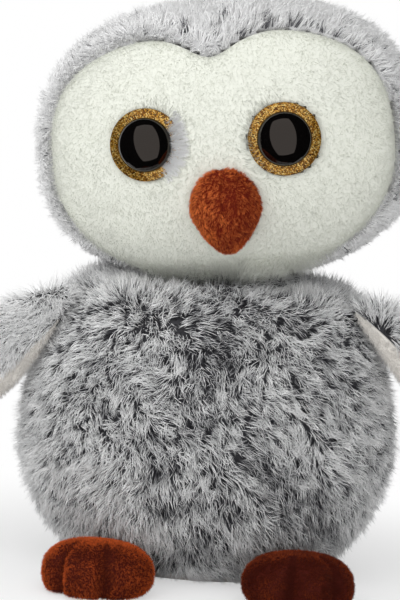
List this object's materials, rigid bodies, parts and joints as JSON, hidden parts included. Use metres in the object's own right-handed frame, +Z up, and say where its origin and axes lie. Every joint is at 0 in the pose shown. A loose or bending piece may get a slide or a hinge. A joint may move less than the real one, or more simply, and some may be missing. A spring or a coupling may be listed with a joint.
{
  "type": "plush owl",
  "caption": "Stuffed soft toy owl with frosted long-pile fur, a white face panel, glossy safety eyes, a plush beak, flap wings and toed feet; the head leans, wings lift and toes lift",
  "frame": {"origin": "Middle of the flat base on the surface that the toy stands on", "axes": "+Z up; the owl faces -Y; +X is its own left side; the head is modelled at the lean and the slight turn that it has in the picture"},
  "size_m": [0.2671, 0.1618, 0.2489],
  "materials": {
    "frosted_fur": "matte",
    "face_plush": "matte",
    "pale_plush": "matte",
    "rust_plush": "matte",
    "red_brown_plush": "matte",
    "fibre_filling": "matte",
    "bag_cloth": "matte",
    "gold_glitter": "gloss",
    "black_dome": "gloss",
    "nylon": "satin"
  },
  "bodies": {
    "body": {"body_front_panel": "frosted_fur", "body_back_panel_left": "frosted_fur", "body_back_panel_right": "frosted_fur", "body_base_panel": "pale_plush", "body_filling": "fibre_filling", "pellet_bag": "bag_cloth"},
    "head": {"face_panel": "face_plush", "head_panel_left": "frosted_fur", "head_panel_right": "frosted_fur", "head_filling": "fibre_filling", "left_eye_ring": "gold_glitter", "left_eye_dome": "black_dome", "left_eye_washer": "nylon", "right_eye_ring": "gold_glitter", "right_eye_dome": "black_dome", "right_eye_washer": "nylon", "beak_left": "rust_plush", "beak_right": "rust_plush", "beak_filling": "fibre_filling"},
    "left_wing": {"left_wing_upper": "frosted_fur", "left_wing_lining": "pale_plush"},
    "right_wing": {"right_wing_upper": "frosted_fur", "right_wing_lining": "pale_plush"},
    "left_foot": {"left_foot_upper": "red_brown_plush", "left_foot_sole": "red_brown_plush", "left_foot_filling": "fibre_filling"},
    "right_foot": {"right_foot_upper": "red_brown_plush", "right_foot_sole": "red_brown_plush", "right_foot_filling": "fibre_filling"}
  },
  "joints": [
    {"name": "head_lean", "type": "hinge", "parent": "body", "child": "head", "pos_m": [0, 0, 0.1025], "axis": [0, -1, 0], "range_deg": [-10, 2], "stiffness_Nm_per_rad": 1.2},
    {"name": "left_wing_lift", "type": "hinge", "parent": "body", "child": "left_wing", "pos_m": [0.06236, -0.02191, 0.118], "axis": [0, -1, 0], "range_deg": [-5, 50], "stiffness_Nm_per_rad": 0.05},
    {"name": "right_wing_lift", "type": "hinge", "parent": "body", "child": "right_wing", "pos_m": [-0.06236, -0.02191, 0.118], "axis": [0, 1, 0], "range_deg": [0, 60], "stiffness_Nm_per_rad": 0.05},
    {"name": "left_foot_lift", "type": "hinge", "parent": "body", "child": "left_foot", "pos_m": [0.03365, -0.04919, 0.00862], "axis": [-0.9511, -0.309, 0], "range_deg": [0, 20], "stiffness_Nm_per_rad": 0.08},
    {"name": "right_foot_lift", "type": "hinge", "parent": "body", "child": "right_foot", "pos_m": [-0.03365, -0.04919, 0.00862], "axis": [-0.9511, 0.309, 0], "range_deg": [0, 20], "stiffness_Nm_per_rad": 0.08}
  ]
}
